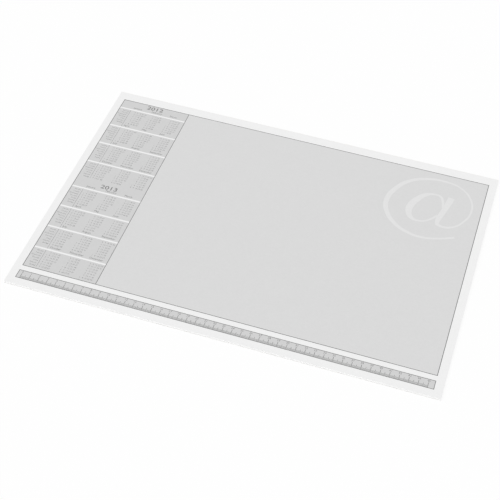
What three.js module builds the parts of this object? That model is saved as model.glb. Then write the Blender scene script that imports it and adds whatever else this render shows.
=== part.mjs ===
// A tear-off desk pad: a block of writing sheets on a greyboard back, glued along its far edge, the head.
// Millimetres, +Z up. +X runs along the front edge to the right and +Y runs to the glued head.
// The origin is under the middle of the pad, on the surface that it lies on.
import * as THREE from 'three';

// Sheets: writing paper of 70 grams a square metre, trimmed square.
const SHEET_WIDTH = 480;
const SHEET_DEPTH = 340;
const SHEET_THICKNESS = 0.09;
const SHEET_COUNT = 20;

// Air that stays between two sheets, and between a sheet and the board or the glue.
const SHEET_AIR = 0.02;

// Backing board, cut together with the sheets.
const BOARD_THICKNESS = 0.5;

// Glue: a film brushed over the cut edges at the head, thin where it starts and ends and thicker between.
const GLUE_BULGE = 0.4;
const GLUE_RIM = 0.15;
const GLUE_ABOVE_DESK = 0.1;
const GLUE_BELOW_TOP = 0.02;
const GLUE_ARC_STEPS = 12;

// Places that follow from the sizes above.
const sheetPitch = SHEET_THICKNESS + SHEET_AIR;
const topZ = BOARD_THICKNESS + SHEET_COUNT * sheetPitch;
const padDepth = SHEET_DEPTH + SHEET_AIR + GLUE_BULGE;
const frontY = -padDepth / 2;
const headY = frontY + SHEET_DEPTH;
const leafCentreY = (frontY + headY) / 2;

function paper() {
  return new THREE.MeshStandardMaterial({ color: 0xf0f0f0, roughness: 0.85, metalness: 0 });
}

function greyboard() {
  return new THREE.MeshStandardMaterial({ color: 0xcfccc5, roughness: 0.95, metalness: 0 });
}

function driedGlue() {
  return new THREE.MeshStandardMaterial({ color: 0xe6e2d6, roughness: 0.35, metalness: 0 });
}

// A flat leaf of the pad's width and depth, standing on the height bottomZ.
function leaf(name, thickness, bottomZ, material) {
  const mesh = new THREE.Mesh(new THREE.BoxGeometry(SHEET_WIDTH, SHEET_DEPTH, thickness), material);
  mesh.name = name;
  mesh.position.set(0, leafCentreY, bottomZ + thickness / 2);
  return mesh;
}

function backingBoard() {
  return leaf('backing_board', BOARD_THICKNESS, 0, greyboard());
}

// Sheets are numbered as they are torn off, so number 1 is the top one.
function writingSheets() {
  const block = new THREE.Group();
  for (let number = 1; number <= SHEET_COUNT; number += 1) {
    const name = `sheet_${String(number).padStart(2, '0')}`;
    block.add(leaf(name, SHEET_THICKNESS, topZ - SHEET_THICKNESS - (number - 1) * sheetPitch, paper()));
  }
  return block;
}

// The glue's section has its flat side on the cut edges and an arc behind it, and is drawn out along X.
function headGlue() {
  const low = GLUE_ABOVE_DESK;
  const high = topZ - GLUE_BELOW_TOP;
  const sagitta = GLUE_BULGE - GLUE_RIM;
  const halfHeight = (high - low) / 2;
  const radius = (halfHeight * halfHeight + sagitta * sagitta) / (2 * sagitta);
  const halfAngle = Math.asin(halfHeight / radius);

  const section = new THREE.Shape();
  section.moveTo(0, low);
  section.lineTo(GLUE_RIM, low);
  section.absarc(GLUE_BULGE - radius, low + halfHeight, radius, -halfAngle, halfAngle, false);
  section.lineTo(0, high);
  section.closePath();

  const film = new THREE.ExtrudeGeometry(section, {
    depth: SHEET_WIDTH,
    bevelEnabled: false,
    curveSegments: GLUE_ARC_STEPS,
  });
  const mesh = new THREE.Mesh(film, driedGlue());
  mesh.name = 'head_glue';
  mesh.rotation.set(Math.PI / 2, Math.PI / 2, 0);
  mesh.position.set(-SHEET_WIDTH / 2, headY + SHEET_AIR, 0);
  return mesh;
}

const deskPad = new THREE.Group();
deskPad.add(backingBoard(), writingSheets(), headGlue());

export default deskPad;
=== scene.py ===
# %% [markdown]
# A tear-off desk pad
#
# A desk pad is a block of large printed sheets that lies under the hands while one writes. The sheets
# are glued along one edge, the head, to a board of grey cardboard, and the top one is torn off when it
# is full. The frame loaded here already holds every sheet, the board and the glue at their real size, so
# the lesson is about looks: paper, printing ink, cardboard and dried glue.

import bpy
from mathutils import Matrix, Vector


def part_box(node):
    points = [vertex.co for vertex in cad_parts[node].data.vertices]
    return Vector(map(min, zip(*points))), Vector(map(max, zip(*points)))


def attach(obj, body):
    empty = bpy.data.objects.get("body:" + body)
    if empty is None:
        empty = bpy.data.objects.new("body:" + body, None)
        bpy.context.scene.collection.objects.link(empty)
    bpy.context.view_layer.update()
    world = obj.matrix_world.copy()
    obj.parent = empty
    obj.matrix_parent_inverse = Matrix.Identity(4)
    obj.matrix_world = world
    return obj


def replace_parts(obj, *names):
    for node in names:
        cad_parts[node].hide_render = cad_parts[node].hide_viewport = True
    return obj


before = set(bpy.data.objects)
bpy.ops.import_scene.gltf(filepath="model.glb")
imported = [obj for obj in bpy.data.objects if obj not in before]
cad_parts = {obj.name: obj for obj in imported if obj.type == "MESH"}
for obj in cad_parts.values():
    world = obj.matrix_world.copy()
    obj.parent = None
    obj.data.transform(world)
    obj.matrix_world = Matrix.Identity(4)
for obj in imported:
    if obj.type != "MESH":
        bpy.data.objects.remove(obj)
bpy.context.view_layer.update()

import calendar
import math
import random

import bmesh
import bpy
from mathutils import Matrix, Quaternion, Vector, noise

sheet_nodes = sorted(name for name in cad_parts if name.startswith("sheet_"))
print("sheets in the frame:", len(sheet_nodes))

# %% [markdown]
# Everything printed is laid out as a printer would do it: in millimetres from the left edge and from the
# head edge of a sheet. One small function turns such a place into the frame's metres, so no other cell
# needs to know where the pad lies. The corners come from the frame and are not typed in again.

# %% Places on a sheet
MM = 0.001
sheet_low, sheet_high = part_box(sheet_nodes[0])


def on_sheet(across, down, above=0.0):
    """A place on the top sheet: mm from its left edge, mm from its head edge and mm above its paper."""
    return Vector((sheet_low.x + across * MM, sheet_high.y - down * MM, sheet_high.z + above * MM))


width, depth, thickness = (sheet_high - sheet_low) / MM
print(f"a sheet is {width:.0f} by {depth:.0f} mm and {thickness:.2f} mm thick")

# %% [markdown]
# The camera looks down at the pad from the front, a little from the right. It could be dragged into
# place by eye, but a camera that is written as an aim, three angles and a distance can be corrected one
# number at a time. A long lens keeps the far edge almost as wide as the near one.

# %% Camera
CAMERA_AIM = on_sheet(236.3, 207.7)
CAMERA_AZIMUTH = math.radians(15.71)
CAMERA_ELEVATION = math.radians(46.44)
CAMERA_ROLL = math.radians(2.79)
CAMERA_DISTANCE = 1.368
CAMERA_LENS = 88.55

away = Vector((
    math.sin(CAMERA_AZIMUTH) * math.cos(CAMERA_ELEVATION),
    -math.cos(CAMERA_AZIMUTH) * math.cos(CAMERA_ELEVATION),
    math.sin(CAMERA_ELEVATION),
))
camera = bpy.data.objects.new("camera", bpy.data.cameras.new("camera"))
camera.data.lens = CAMERA_LENS
camera.location = CAMERA_AIM + away * CAMERA_DISTANCE
camera.rotation_mode = "QUATERNION"
camera.rotation_quaternion = (-away).to_track_quat("-Z", "Y") @ Quaternion((0, 0, 1), CAMERA_ROLL)
bpy.context.scene.collection.objects.link(camera)
bpy.context.scene.camera = camera
print("camera stands at", [round(c, 3) for c in camera.location])

# %% [markdown]
# Finishes are node trees. Wiring them by hand takes four lines for a single sum, so two small classes do
# the wiring: a Value stands for one node output and can be added, subtracted and multiplied like a
# number, and a Finish adds any other node in one call.


# %% Values
class Value:
    """One output of a node. Arithmetic on it adds Math nodes to the tree that it belongs to."""

    def __init__(self, finish, socket):
        self.finish = finish
        self.socket = socket

    def __add__(self, other):
        return self.finish.maths("ADD", self, other)

    def __radd__(self, other):
        return self.finish.maths("ADD", other, self)

    def __sub__(self, other):
        return self.finish.maths("SUBTRACT", self, other)

    def __rsub__(self, other):
        return self.finish.maths("SUBTRACT", other, self)

    def __mul__(self, other):
        return self.finish.maths("MULTIPLY", self, other)

    def __rmul__(self, other):
        return self.finish.maths("MULTIPLY", other, self)


print("values ready")


# %% Finishes
class Finish:
    """The node tree of one material or world, and the calls that add nodes to it."""

    def __init__(self, owner):
        owner.use_nodes = True
        self.owner = owner
        self.tree = owner.node_tree

    def feed(self, socket, value):
        if isinstance(value, Value):
            self.tree.links.new(value.socket, socket)
        else:
            socket.default_value = value

    def node(self, kind, settings, sockets, output=0):
        """Adds a node, sets it up, feeds its sockets and returns one of its outputs."""
        made = self.tree.nodes.new(kind)
        for name, setting in settings.items():
            setattr(made, name, setting)
        for name, value in sockets.items():
            self.feed(made.inputs[name], value)
        return Value(self, made.outputs[output])

    def maths(self, operation, first, second):
        return self.node("ShaderNodeMath", {"operation": operation}, {0: first, 1: second})

    def mottle(self, size, stretch=(1, 1, 1), detail=2.0):
        """Soft noise around zero, about size mm from one blotch to the next, drawn out along stretch."""
        place = self.node("ShaderNodeTexCoord", {}, {}, "Object")
        scale = [1 / (size * MM * s) for s in stretch]
        place = self.node("ShaderNodeMapping", {}, {"Vector": place, "Scale": scale})
        return self.node("ShaderNodeTexNoise", {}, {"Vector": place, "Scale": 1.0, "Detail": detail}) - 0.5

    def bump(self, height, distance, strength):
        """A surface that rises with a height value, by a distance in metres."""
        sockets = {"Strength": strength, "Distance": distance, "Height": height}
        return self.node("ShaderNodeBump", {}, sockets, "Normal")

    def surface(self, sockets):
        """Feeds the sockets of the material's main shader."""
        shader = self.tree.nodes["Principled BSDF"]
        for name, value in sockets.items():
            self.feed(shader.inputs[name], value)


print("finishes ready")

# %% [markdown]
# The light is that of a product photo: about as much of it from all around as from one large lamp, so
# that nothing is harsh, and a total at which a colour renders as it is written. The lamp stands in
# front, so the cut edges of the sheets are bright. A sun lamp with a wide disc is used instead of an
# area lamp, because the pad is wide and flat and a near lamp would light one end more than the other.

# %% Light
SKY_LIGHT = 0.55
LAMP_LIGHT = 0.45
LAMP_FROM = Vector((-0.45, -0.8, 1.0)).normalized()
LAMP_DISC = math.radians(50)


def what_is_seen(finish):
    """One for rays that show the surroundings, straight or by reflection, and zero for light."""
    seen = finish.node("ShaderNodeLightPath", {}, {}, "Is Camera Ray")
    for ray in ("Is Glossy Ray", "Is Transmission Ray"):
        seen = finish.maths("MAXIMUM", seen, finish.node("ShaderNodeLightPath", {}, {}, ray))
    return seen


world = bpy.data.worlds.new("studio")
bpy.context.scene.world = world
studio = Finish(world)
sky = studio.tree.nodes["Background"]
studio.feed(sky.inputs["Strength"], SKY_LIGHT + what_is_seen(studio) * (1 - SKY_LIGHT))
studio.feed(sky.inputs["Color"], (1, 1, 1, 1))

lamp = bpy.data.objects.new("lamp", bpy.data.lights.new("lamp", "SUN"))
lamp.data.energy = LAMP_LIGHT * math.pi / LAMP_FROM.z
lamp.data.angle = LAMP_DISC
lamp.rotation_mode = "QUATERNION"
lamp.rotation_quaternion = LAMP_FROM.to_track_quat("Z", "Y")
bpy.context.scene.collection.objects.link(lamp)
bpy.context.scene.view_settings.view_transform = "Standard"
print("lamp strength", round(lamp.data.energy, 2))

# %% [markdown]
# The floor is white paper under the pad. To the camera it mostly glows white by itself, and the rest of
# what it shows is the light that falls on it, so the pad's soft shadow stays. Light that bounces off it
# is not changed.

# %% Floor
FLOOR_SIDE = 12.0
FLOOR_DROP = 0.05 * MM
FLOOR_TONE = 0.94
FLOOR_GLOW = 0.88


def mesh_of(block, name):
    """Turns a bmesh into a mesh and frees it."""
    mesh = bpy.data.meshes.new(name)
    block.to_mesh(mesh)
    block.free()
    return mesh


floor_block = bmesh.new()
bmesh.ops.create_grid(floor_block, x_segments=1, y_segments=1, size=FLOOR_SIDE / 2,
                      matrix=Matrix.Translation((0, 0, -FLOOR_DROP)))
floor = bpy.data.objects.new("floor", mesh_of(floor_block, "floor"))

floor_finish = Finish(bpy.data.materials.new("floor"))
floor_finish.surface({
    "Base Color": (FLOOR_TONE, FLOOR_TONE, FLOOR_TONE, 1),
    "Roughness": 1.0,
    "Specular IOR Level": 0.0,
})
lit = Value(floor_finish, floor_finish.tree.nodes["Principled BSDF"].outputs[0])
glow = floor_finish.node("ShaderNodeEmission", {}, {"Color": (1, 1, 1, 1), "Strength": 1.0})
shown = {0: what_is_seen(floor_finish) * FLOOR_GLOW, 1: lit, 2: glow}
blend = floor_finish.node("ShaderNodeMixShader", {}, shown)
floor_finish.feed(floor_finish.tree.nodes["Material Output"].inputs["Surface"], blend)
floor.data.materials.append(floor_finish.owner)
bpy.context.scene.collection.objects.link(floor)
print("floor", FLOOR_SIDE, "m wide")

# %% [markdown]
# Writing paper looks even from a step away, but it is a felt of fibres: up close it is cloudy and
# flecked, and it has short fibres that lie mostly along the machine's run. A photo of paper could be laid
# over it, but noise has no seams and no fixed size. Three noises at those scales are added to the paper's
# tone, and the finest of them also lifts the surface a little. Each is faint, because too much would look
# like stone. Only the top sheet gets the relief. The sheets below have the same tones and an even
# surface, which hardly differs and saves most of the time when the finishes are baked for another
# program.

# %% Paper
PAPER_TONE = 0.871
PAPER_ROUGHNESS = 0.85
PAPER_SHINE = 0.2
CLOUD_SIZE, CLOUD_SHADE = 14, 0.02
FLECK_SIZE, FLECK_SHADE = 2.5, 0.02
FIBRE_SIZE, FIBRE_SHADE = 0.5, 0.05
FIBRE_STRETCH = (3, 1, 1)
FIBRE_HEIGHT, FIBRE_RELIEF = 0.05 * MM, 0.5
FIBRE_GLOSS = 0.15


def paper_texture(finish):
    """The clouds and the fibres of the paper, each around zero. The inks show them too."""
    clouds = finish.mottle(CLOUD_SIZE, detail=3.0)
    fibres = finish.mottle(FIBRE_SIZE, FIBRE_STRETCH, detail=3.0)
    return clouds, fibres


def add_relief(finish, roughness, fibres):
    """Lets the fibres show in the gloss and lift the surface a little."""
    finish.surface({
        "Roughness": roughness + fibres * FIBRE_GLOSS,
        "Normal": finish.bump(fibres, FIBRE_HEIGHT, FIBRE_RELIEF),
    })


def writing_paper(name, relief):
    finish = Finish(bpy.data.materials.new(name))
    clouds, fibres = paper_texture(finish)
    flecks = finish.mottle(FLECK_SIZE)
    finish.surface({
        "Base Color": PAPER_TONE + clouds * CLOUD_SHADE + flecks * FLECK_SHADE + fibres * FIBRE_SHADE,
        "Roughness": PAPER_ROUGHNESS,
        "Specular IOR Level": PAPER_SHINE,
    })
    if relief:
        add_relief(finish, PAPER_ROUGHNESS, fibres)
    return finish.owner


top_paper = writing_paper("top_paper", relief=True)
lower_paper = writing_paper("lower_paper", relief=False)
print("papers", top_paper.name, lower_paper.name)

# %% [markdown]
# The print is one colour of ink in four strengths: a pale tint for the writing field, a stronger one for
# the calendar and the ruler, a paler one for the large sign in the corner, and full ink for lines and
# figures. A tint could be mixed into the paper's own nodes, but ink lies on the paper, and as thin
# pieces of their own the printed shapes keep sharp edges at any distance. Ink sinks in unevenly, so its
# tone follows the paper's fibres, by a share that is written here after the tone and before the
# roughness.

# %% Inks
TINTS = [
    ("field_tint", 0.695, 0.07, 0.80),
    ("calendar_tint", 0.637, 0.08, 0.78),
    ("sign_tint", 0.76, 0.07, 0.80),
]
FIELD, COLUMN, SIGN = range(3)
FULL_INK = ("full_ink", 0.19, 0.35, 0.60)
INK_SHINE = 0.25
COVERAGE_SIZE, COVERAGE_SHARE = 3.5, 0.5
CLOUD_SHARE = 0.3


def printed(name, tone, unevenness, roughness, relief):
    """One ink, which wavers with the paper under it and with its own coverage."""
    finish = Finish(bpy.data.materials.new(name))
    clouds, fibres = paper_texture(finish)
    coverage = finish.mottle(COVERAGE_SIZE)
    waver = coverage * COVERAGE_SHARE + fibres + clouds * CLOUD_SHARE
    finish.surface({
        "Base Color": tone * (1 + waver * unevenness),
        "Roughness": roughness,
        "Specular IOR Level": INK_SHINE,
    })
    if relief:
        add_relief(finish, roughness, fibres)
    return finish.owner


def printing_inks(place, relief):
    """The tints of field, column and sign, and then the full ink."""
    return [printed(f"{place}_{name}", *look, relief) for name, *look in TINTS + [FULL_INK]]


*top_tints, top_ink = printing_inks("top", relief=True)
*lower_tints, lower_ink = printing_inks("lower", relief=False)
print("inks of the top sheet", [ink.name for ink in top_tints + [top_ink]])

# %% [markdown]
# A film of ink is a few thousandths of a millimetre thick. It is drawn as a shallow solid that reaches a
# little into the paper, so that no two faces share a plane. The tints are the first layer, and lines,
# figures and the sign rise just above it. All of it stays inside the air that the frame leaves between
# two sheets.

# %% Films of ink
FILM_FOOT = -0.002
TINT_HEIGHT = 0.005
INK_HEIGHT = 0.010


def film(block, left, top, right, bottom, height, finish=0):
    """Adds a rectangle of ink, with its edges in mm from the sheet's left and head edges."""
    corner = on_sheet(left, top, height)
    across = on_sheet(right, bottom, FILM_FOOT)
    size = [abs(a - b) for a, b in zip(corner, across)]
    place = Matrix.Translation((corner + across) / 2) @ Matrix.Diagonal((*size, 1))
    bmesh.ops.create_cube(block, size=1, matrix=place)
    block.faces.ensure_lookup_table()
    for face in block.faces[-6:]:
        face.material_index = finish


def extruded_corners(block):
    """Extrudes every face where it is, and returns the new corners, which are still to be moved."""
    extruded = bmesh.ops.extrude_face_region(block, geom=block.faces[:], use_keep_orig=True)
    return [part for part in extruded["geom"] if isinstance(part, bmesh.types.BMVert)]


def raise_faces(block, height):
    """Makes a closed solid of flat faces, with its height in metres."""
    bmesh.ops.translate(block, verts=extruded_corners(block), vec=(0, 0, height))
    bmesh.ops.recalc_face_normals(block, faces=block.faces)


def raise_film(block, height):
    """Makes a closed film of flat faces that lie on the paper."""
    bmesh.ops.translate(block, verts=block.verts, vec=(0, 0, FILM_FOOT * MM))
    raise_faces(block, (height - FILM_FOOT) * MM)


print("ink stands", INK_HEIGHT, "mm high")

# %% [markdown]
# The writing field and the calendar column share one printed frame. The column is a darker tint, cut
# into strips by white lines under the names of the months. A white line isn't printed: it is a gap
# through which the paper shows, so the strips simply stop short of it. The ruler is one more strip near
# the front edge.

# %% Tints of the field, the calendar and the ruler
FRAME_LEFT, FRAME_TOP, FRAME_RIGHT, FRAME_BOTTOM = 9.3, 12.8, 470.5, 312.0
COLUMN_RIGHT = 94.6
FIRST_LINES, ROW_STEP = [28.1, 177.8], 34.63
WHITE_LINES = [[first + row * ROW_STEP for row in range(4)] for first in FIRST_LINES]
WHITE_WIDTH = 2.2
RULER_TOP, RULER_BOTTOM = 319.3, 330.4


def tint_strips(block):
    film(block, COLUMN_RIGHT, FRAME_TOP, FRAME_RIGHT, FRAME_BOTTOM, TINT_HEIGHT, FIELD)
    start = FRAME_TOP
    for line in WHITE_LINES[0] + WHITE_LINES[1]:
        film(block, FRAME_LEFT, start, COLUMN_RIGHT, line - WHITE_WIDTH / 2, TINT_HEIGHT, COLUMN)
        start = line + WHITE_WIDTH / 2
    film(block, FRAME_LEFT, start, COLUMN_RIGHT, FRAME_BOTTOM, TINT_HEIGHT, COLUMN)
    film(block, FRAME_LEFT, RULER_TOP, FRAME_RIGHT, RULER_BOTTOM, TINT_HEIGHT, COLUMN)


tint_block = bmesh.new()
tint_strips(tint_block)
first_sign_face = len(tint_block.faces)
print("tint strips", first_sign_face // 6)

# %% [markdown]
# The large sign in the corner of the field is a common at sign, drawn with a broad pen: a slanted letter
# a, and a ring that swells on the left and thins on the right. Each stroke is a curve whose points carry
# half the pen's width. A curve with a bevel of four sides, turned by 45 degrees, is a square rod, so
# pressing it flat gives a stroke with a crisp edge. A Boolean modifier then joins the three strokes
# where they cross.

# %% Pen strokes
PEN_STEPS = 8


def pen_stroke(points):
    """A square rod along the points, pressed to a flat solid one millimetre thick."""
    curve = bpy.data.curves.new("pen_stroke", "CURVE")
    curve.dimensions = "3D"
    curve.bevel_depth = math.sqrt(2) * MM
    curve.bevel_resolution = 0
    curve.use_fill_caps = True
    curve.resolution_u = PEN_STEPS
    spline = curve.splines.new("BEZIER")
    spline.radius_interpolation = "CARDINAL"
    spline.tilt_interpolation = "LINEAR"
    spline.bezier_points.add(len(points) - 1)
    for point, (across, down, half_width) in zip(spline.bezier_points, points):
        point.co = on_sheet(across, down)
        point.radius = half_width
        point.tilt = math.radians(45)
        point.handle_left_type = "AUTO"
        point.handle_right_type = "AUTO"
    rod = bpy.data.objects.new("pen_stroke", curve)
    stroke = bpy.data.objects.new("pen_stroke", bpy.data.meshes.new_from_object(rod))
    for vertex in stroke.data.vertices:
        vertex.co.z = MM / 2 if vertex.co.z > sheet_high.z else -MM / 2
    bpy.data.objects.remove(rod)
    bpy.context.scene.collection.objects.link(stroke)
    return stroke


def join_strokes(strokes):
    """One mesh of all the strokes, and the strokes themselves are removed."""
    whole = strokes[0]
    for other in strokes[1:]:
        union = whole.modifiers.new("union", "BOOLEAN")
        union.operation = "UNION"
        union.solver = "EXACT"
        union.object = other
    view = bpy.context.evaluated_depsgraph_get()
    joined = bpy.data.meshes.new_from_object(whole.evaluated_get(view))
    for stroke in strokes:
        bpy.data.objects.remove(stroke)
    joined.shade_flat()
    return joined


print("pen ready")

# %% Sign
RING = [
    (424, 97, 1.9), (433.5, 99.5, 1.6), (445, 95, 1.2), (453.5, 83.5, 1.1), (459, 66.5, 1.1),
    (455.5, 46, 1.1), (441, 29.5, 1.1), (418.5, 24, 1.5), (397, 27.5, 2.0), (379.5, 37.5, 2.4),
    (367, 55.5, 2.9), (361.5, 75.5, 3.0), (365, 93.5, 2.7), (379, 112, 2.3), (397, 121.5, 1.9),
    (415, 123.5, 1.5), (434, 118.5, 1.3), (448.5, 112, 1.6),
]
BOWL = [
    (426.5, 68.5, 1.3), (424, 57.5, 1.4), (420, 51, 1.5), (412, 50, 1.4), (403, 54, 2.6),
    (395, 64.5, 3.8), (390, 77, 4.0), (390, 87.5, 3.6), (394.5, 96, 2.6), (402, 99, 1.4),
    (412.5, 95.5, 1.2), (423, 83.5, 1.4),
]
STEM = [(433, 49.5, 3.8), (431, 62, 3.5), (427.5, 78, 3.2), (425, 90, 2.8), (425, 97.5, 2.0)]

sign_mesh = join_strokes([pen_stroke(RING), pen_stroke(BOWL), pen_stroke(STEM)])
press = Matrix.Translation((0, 0, sheet_high.z + (INK_HEIGHT + FILM_FOOT) / 2 * MM))
sign_mesh.transform(press @ Matrix.Diagonal((1, 1, INK_HEIGHT - FILM_FOOT, 1)))
tint_block.from_mesh(sign_mesh)
tint_block.faces.ensure_lookup_table()
for face in tint_block.faces[first_sign_face:]:
    face.material_index = SIGN
print("faces of the sign", len(sign_mesh.polygons))

# %% [markdown]
# Lines are long thin films. The frame and the ruler's border are rings: a rectangle is inset by the
# line's width and its middle is taken out, which keeps the corners mitred. A line that meets a ring
# stops at the ring's edge, because two films at one height would flicker where they cover each other.
# The ruler's scale is a loop with a mark at each millimetre. Every fifth mark is longer and wider, and
# every tenth is the longest.

# %% Kinds of lines
FRAME_LINE = 0.75
COLUMN_LINE = 0.67
WEEKDAY_LINE = 0.3
RULER_LINE = 0.7


def line_ring(block, left, top, right, bottom, width):
    """A printed rectangle whose line lies half inside and half outside the given edges."""
    ring = bmesh.new()
    middle = (on_sheet(left, top) + on_sheet(right, bottom)) / 2
    size = Matrix.Diagonal(((right - left + width) * MM, (bottom - top + width) * MM, 1, 1))
    bmesh.ops.create_grid(ring, x_segments=1, y_segments=1, size=0.5,
                          matrix=Matrix.Translation(middle) @ size)
    inner = ring.faces[:]
    bmesh.ops.inset_region(ring, faces=inner, thickness=width * MM, use_even_offset=True, use_boundary=True)
    bmesh.ops.delete(ring, geom=inner, context="FACES_ONLY")
    raise_film(ring, INK_HEIGHT)
    part = mesh_of(ring, "ring")
    block.from_mesh(part)
    bpy.data.meshes.remove(part)


def upright_line(block, across, top, bottom, width):
    film(block, across - width / 2, top, across + width / 2, bottom, INK_HEIGHT)


print("the thinnest line is", WEEKDAY_LINE, "mm wide")

# %% Printed lines
WEEKDAY_RIGHT = 24.0
BLOCK_DEPTH = 27.8
SCALE_START, SCALE_LENGTH = 13.9, 450
MARK_SIZES = {10: (6.9, 0.52), 5: (4.9, 0.4), 1: (3.2, 0.34)}


def calendar_lines(block):
    line_ring(block, FRAME_LEFT, FRAME_TOP, FRAME_RIGHT, FRAME_BOTTOM, FRAME_LINE)
    half_line = FRAME_LINE / 2
    upright_line(block, COLUMN_RIGHT, FRAME_TOP + half_line, FRAME_BOTTOM - half_line, COLUMN_LINE)
    for lines in WHITE_LINES:
        ends = [line - WHITE_WIDTH / 2 for line in lines[1:]] + [lines[-1] + BLOCK_DEPTH]
        for line, end in zip(lines, ends):
            upright_line(block, WEEKDAY_RIGHT, line + WHITE_WIDTH / 2, end, WEEKDAY_LINE)


def ruler_lines(block):
    line_ring(block, FRAME_LEFT, RULER_TOP, FRAME_RIGHT, RULER_BOTTOM, RULER_LINE)
    foot = RULER_BOTTOM - RULER_LINE / 2
    for millimetre in range(SCALE_LENGTH + 1):
        length, width = next(size for step, size in MARK_SIZES.items() if millimetre % step == 0)
        upright_line(block, SCALE_START + millimetre, RULER_BOTTOM - length, foot, width)


line_block = bmesh.new()
calendar_lines(line_block)
ruler_lines(line_block)
line_mesh = mesh_of(line_block, "lines")
print("faces of the lines", len(line_mesh.polygons))

# %% [markdown]
# Figures and letters come from Blender's built-in font, turned into flat meshes. A calendar repeats the
# same thirty-one numbers many times, so each word is made once, kept, and stamped wherever it is needed.
# The font's curves are cut into few steps, because a figure two millimetres high shows no more.

# %% Lettering
CAPITAL_HEIGHT = 0.69
THIN, REGULAR, THICK = -0.012, 0.0, 0.012
stamps = {}


def stamp_of(words, weight, steps, align):
    """A flat mesh of the words, with capitals one unit high."""
    key = (words, weight, steps, align)
    if key not in stamps:
        text = bpy.data.curves.new("words", "FONT")
        text.body = words
        text.offset = weight
        text.resolution_u = steps
        text.align_x = align
        text.size = 1 / CAPITAL_HEIGHT
        holder = bpy.data.objects.new("words", text)
        stamps[key] = bpy.data.meshes.new_from_object(holder)
        bpy.data.objects.remove(holder)
    return stamps[key]


def letter(block, words, across, middle, height, weight, steps, align="CENTER", stretch=1.0):
    """Stamps words on the sheet, with the middle of their height at a distance from the head edge."""
    stamp = stamp_of(words, weight, steps, align)
    size = Matrix.Diagonal((height * stretch * MM, height * MM, 1, 1))
    place = Matrix.Translation(on_sheet(across, middle + height / 2)) @ size
    stamp.transform(place)
    block.from_mesh(stamp)
    stamp.transform(place.inverted())


print("lettering ready")

# %% [markdown]
# The calendar covers two years, four rows of three months each. Weeks are the columns of a month and
# weekdays are its rows, so one list of weekday names on the left serves three months. Python's calendar
# module knows on which weekday each month starts, so no date has to be typed in. Sundays and the names
# of months are printed heavier than days.

# %% Months and weekdays
MONTH_INDENT = 2.2
NAME_HEIGHT, NAME_ABOVE_LINE = 2.55, 4.3
DAY_HEIGHT = 1.75
FIRST_DAY, DAY_STEP = 3.9, 3.7
FIRST_WEEK, WEEK_STEP = 3.3, 3.4
WEEKDAY_HEIGHT, WEEKDAY_END = 1.65, 22.3
SUNDAY_GROWTH = 1.06


def print_of(weekday, height):
    """Height and weight of what is printed in a weekday's row."""
    if weekday == calendar.SUNDAY:
        return height * SUNDAY_GROWTH, REGULAR
    return height, THIN


def month_figures(block, year, month, left, line, steps):
    """The name above the white line and the days under it."""
    letter(block, calendar.month_name[month], left + MONTH_INDENT, line - NAME_ABOVE_LINE, NAME_HEIGHT,
           REGULAR, steps, "LEFT")
    for week, days in enumerate(calendar.Calendar().monthdayscalendar(year, month)):
        across = left + FIRST_WEEK + week * WEEK_STEP
        for weekday, day in enumerate(days):
            if day:
                letter(block, str(day), across, line + FIRST_DAY + weekday * DAY_STEP,
                       *print_of(weekday, DAY_HEIGHT), steps)


def weekday_names(block, line, steps):
    for weekday, name in enumerate(calendar.day_name):
        letter(block, name, WEEKDAY_END, line + FIRST_DAY + weekday * DAY_STEP,
               *print_of(weekday, WEEKDAY_HEIGHT), steps, "RIGHT")


print("days stand", DAY_STEP, "mm under each other")

# %% Two years
YEARS = [2012, 2013]
YEAR_MIDDLES = [17.9, 168.3]
YEAR_HEIGHT, YEAR_STRETCH = 5.8, 1.26
MONTH_WIDTH = (COLUMN_RIGHT - WEEKDAY_RIGHT) / 3


def calendar_figures(block, steps):
    for year, middle, lines in zip(YEARS, YEAR_MIDDLES, WHITE_LINES):
        letter(block, str(year), (FRAME_LEFT + COLUMN_RIGHT) / 2, middle, YEAR_HEIGHT, THICK, steps,
               "CENTER", YEAR_STRETCH)
        for month in range(12):
            row, column = divmod(month, 3)
            if column == 0:
                weekday_names(block, lines[row], steps)
            left = WEEKDAY_RIGHT + column * MONTH_WIDTH
            month_figures(block, year, month + 1, left, lines[row], steps)


print("a month is", round(MONTH_WIDTH, 1), "mm wide")

# %% [markdown]
# The ruler's numbers stand over their long marks. They are stamped like the rest, and then all figures
# are raised to a film together. The top sheet gets smooth figures. The sheets under it carry the same
# print with coarser ones, so that a calendar on every sheet doesn't make the model heavy.

# %% Printing plates
RULER_NUMBER_HEIGHT = 2.4
RULER_NUMBER_MIDDLE = RULER_TOP + 2.1
FINE_STEPS, COARSE_STEPS = 3, 1


def ruler_numbers(block, steps):
    for centimetre in range(SCALE_LENGTH // 10 + 1):
        letter(block, str(centimetre), SCALE_START + 10 * centimetre, RULER_NUMBER_MIDDLE,
               RULER_NUMBER_HEIGHT, REGULAR, steps)


def ink_plate(steps, full_ink):
    """The mesh of everything that is printed in full ink on one sheet."""
    figures = bmesh.new()
    calendar_figures(figures, steps)
    ruler_numbers(figures, steps)
    raise_film(figures, INK_HEIGHT)
    figures.from_mesh(line_mesh)
    plate = mesh_of(figures, "ink_plate")
    plate.shade_flat()
    plate.materials.append(full_ink)
    return plate


tint_mesh = mesh_of(tint_block, "tint_plate")


def tint_plate(tints):
    plate = tint_mesh.copy()
    for tint in tints:
        plate.materials.append(tint)
    return plate


top_print = tint_plate(top_tints), ink_plate(FINE_STEPS, top_ink)
lower_print = tint_plate(lower_tints), ink_plate(COARSE_STEPS, lower_ink)
print("faces of the fine and the coarse print", len(top_print[1].polygons), len(lower_print[1].polygons))

# %% [markdown]
# A sheet is a grid raised to the thickness of the paper, so that it has faces enough to be bent by
# anyone who wants to. The stack was cut in one stroke, but no sheet lies exactly on the next: each is
# shifted sideways and away from the glue by a few hundredths of a millimetre, drawn from a seeded
# generator so that every run gives the same pad.

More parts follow.
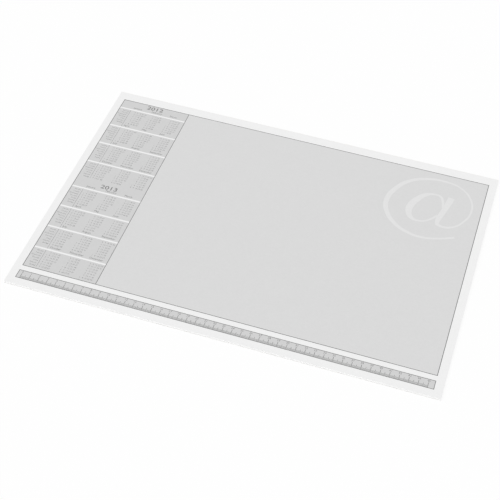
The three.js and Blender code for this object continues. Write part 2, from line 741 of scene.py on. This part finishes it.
# %% Blank sheets
GRID_ACROSS, GRID_DOWN = 24, 17


def sheet_mesh(node, paper):
    low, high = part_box(node)
    centre = (low + high) / 2
    size = high - low
    block = bmesh.new()
    foot = Matrix.Translation((centre.x, centre.y, low.z)) @ Matrix.Diagonal((size.x, size.y, 1, 1))
    bmesh.ops.create_grid(block, x_segments=GRID_ACROSS, y_segments=GRID_DOWN, size=0.5, matrix=foot)
    raise_faces(block, size.z)
    mesh = mesh_of(block, node)
    mesh.materials.append(paper)
    return mesh


print("grid of a sheet", GRID_ACROSS, "by", GRID_DOWN)

# %% Printed sheets
LARGEST_SHIFT = 0.05 * MM
shuffle = random.Random(20)


def add_piece(name, mesh, body):
    """A finished mesh as a piece that rides on a body of the frame."""
    piece = bpy.data.objects.new(name, mesh)
    bpy.context.scene.collection.objects.link(piece)
    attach(piece, body)
    return piece


def lay_print(plate, name, body, shift):
    mesh = plate.copy()
    mesh.transform(Matrix.Translation(shift))
    return add_piece(name, mesh, body)


for node in sheet_nodes:
    body = node.replace("sheet", "leaf")
    on_top = node == sheet_nodes[0]
    shift = Vector((shuffle.uniform(-1, 1), shuffle.uniform(-1, 0), 0)) * LARGEST_SHIFT
    leaf = sheet_mesh(node, top_paper if on_top else lower_paper)
    leaf.transform(Matrix.Translation(shift))
    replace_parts(add_piece(node + "_paper", leaf, body), node)
    shift.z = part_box(node)[1].z - sheet_high.z
    tints, ink = top_print if on_top else lower_print
    lay_print(tints, node + "_tints", body, shift)
    lay_print(ink, node + "_ink", body, shift)
print("printed sheets", len(sheet_nodes))

# %% [markdown]
# The backing board is greyboard, pressed from waste paper. It is a pale, dull grey with fibres and
# flecks of all the papers that went into it. The flecks are the tops of a fine noise, picked out with a
# steep step, and the board's cut edges are a little crushed, which a small bevel shows.

# %% Greyboard
BOARD_COLOUR = (0.60, 0.585, 0.56, 1)
BOARD_ROUGHNESS = 0.93
BOARD_SHINE = 0.15
BOARD_FIBRE_COLOUR = (0.71, 0.70, 0.68, 1)
BOARD_FIBRE_SIZE, BOARD_FIBRE_STRETCH = 0.3, (6, 3, 0.5)
BOARD_FIBRE_LEVEL, BOARD_FIBRE_STEP = 0.0, 0.25
BOARD_FLECK_COLOUR = (0.32, 0.31, 0.30, 1)
BOARD_FLECK_SIZE, BOARD_FLECK_STRETCH = 0.8, (3, 2, 0.4)
BOARD_FLECK_LEVEL, BOARD_FLECK_STEP = 0.17, 0.05


def above(finish, value, level, step):
    """Zero below a level, one from a step above it, and soft between."""
    return finish.node("ShaderNodeMapRange", {"interpolation_type": "SMOOTHSTEP"},
                       {"Value": value, "From Min": level, "From Max": level + step})


def mix_colours(finish, share, first, second):
    return finish.node("ShaderNodeMix", {"data_type": "RGBA"}, {0: share, 6: first, 7: second}, 2)


def greyboard():
    finish = Finish(bpy.data.materials.new("greyboard"))
    fibres = finish.mottle(BOARD_FIBRE_SIZE, BOARD_FIBRE_STRETCH, detail=4.0)
    flecks = finish.mottle(BOARD_FLECK_SIZE, BOARD_FLECK_STRETCH, detail=3.0)
    fibre_share = above(finish, fibres, BOARD_FIBRE_LEVEL, BOARD_FIBRE_STEP)
    fleck_share = above(finish, flecks, BOARD_FLECK_LEVEL, BOARD_FLECK_STEP)
    colour = mix_colours(finish, fibre_share, BOARD_COLOUR, BOARD_FIBRE_COLOUR)
    colour = mix_colours(finish, fleck_share, colour, BOARD_FLECK_COLOUR)
    finish.surface({"Base Color": colour, "Specular IOR Level": BOARD_SHINE})
    add_relief(finish, BOARD_ROUGHNESS, fibres)
    return finish.owner


board_finish = greyboard()
print("board finish", board_finish.name)

# %% Backing board
CRUSHED_EDGE = 0.08 * MM


def board_mesh():
    low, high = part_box("backing_board")
    block = bmesh.new()
    place = Matrix.Translation((low + high) / 2) @ Matrix.Diagonal((*(high - low), 1))
    bmesh.ops.create_cube(block, size=1, matrix=place)
    bmesh.ops.bevel(block, geom=block.edges[:], offset=CRUSHED_EDGE, affect="EDGES", segments=2,
                    profile=0.5, material=-1)
    mesh = mesh_of(block, "backing_board")
    mesh.materials.append(board_finish)
    return mesh


board = add_piece("greyboard_back", board_mesh(), "pad_base")
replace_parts(board, "backing_board")
print("faces of the board", len(board.data.polygons))

# %% [markdown]
# Padding glue is brushed over the cut edges at the head and dries to a milky, rubbery film. It swells
# towards its middle and keeps the marks of the brush. A grid as long as the pad stays flat against the
# paper, and its extruded copy is bent to that swell, with noise drawn out along the edge for the brush
# marks.

# %% Dried glue
GLUE_COLOUR = (0.80, 0.77, 0.69, 1)
THIN_GLUE_COLOUR = (0.70, 0.67, 0.60, 1)
GLUE_ROUGHNESS = 0.38
STREAK_SIZE, STREAK_STRETCH = 0.6, (15, 1, 1)
STREAK_LEVEL, STREAK_STEP = -0.15, 0.3
STREAK_HEIGHT, STREAK_RELIEF = 0.03 * MM, 0.6
STREAK_GLOSS = 0.3


def padding_glue():
    finish = Finish(bpy.data.materials.new("padding_glue"))
    streaks = finish.mottle(STREAK_SIZE, STREAK_STRETCH, detail=3.0)
    thick_share = above(finish, streaks, STREAK_LEVEL, STREAK_STEP)
    finish.surface({
        "Base Color": mix_colours(finish, thick_share, THIN_GLUE_COLOUR, GLUE_COLOUR),
        "Roughness": GLUE_ROUGHNESS + streaks * STREAK_GLOSS,
        "Normal": finish.bump(streaks, STREAK_HEIGHT, STREAK_RELIEF),
    })
    return finish.owner


glue_finish = padding_glue()
print("glue finish", glue_finish.name)

# %% Glue film
GLUE_STEPS, GLUE_ROWS = 320, 8
GLUE_RIM = 0.15 * MM
BRUSH_DEPTH = 0.07 * MM
BRUSH_LENGTH, BRUSH_WIDTH = 9 * MM, 0.5 * MM


def glue_mesh():
    low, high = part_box("head_glue")
    middle = (low + high) / 2
    size = high - low
    block = bmesh.new()
    upright = Matrix.Translation((middle.x, low.y, middle.z)) @ Matrix.Rotation(math.radians(90), 4, "X")
    bmesh.ops.create_grid(block, x_segments=GLUE_STEPS, y_segments=GLUE_ROWS, size=0.5,
                          matrix=upright @ Matrix.Diagonal((size.x, size.z, 1, 1)))
    swell = size.y - GLUE_RIM - BRUSH_DEPTH
    for corner in extruded_corners(block):
        level = 2 * (corner.co.z - middle.z) / size.z
        brush = noise.noise((corner.co.x / BRUSH_LENGTH, 0, corner.co.z / BRUSH_WIDTH))
        corner.co.y += GLUE_RIM + swell * (1 - level * level) + BRUSH_DEPTH * brush
    bmesh.ops.recalc_face_normals(block, faces=block.faces)
    mesh = mesh_of(block, "head_glue")
    mesh.materials.append(glue_finish)
    return mesh


glue = add_piece("padding_glue_film", glue_mesh(), "pad_base")
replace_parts(glue, "head_glue")
print("faces of the glue", len(glue.data.polygons))
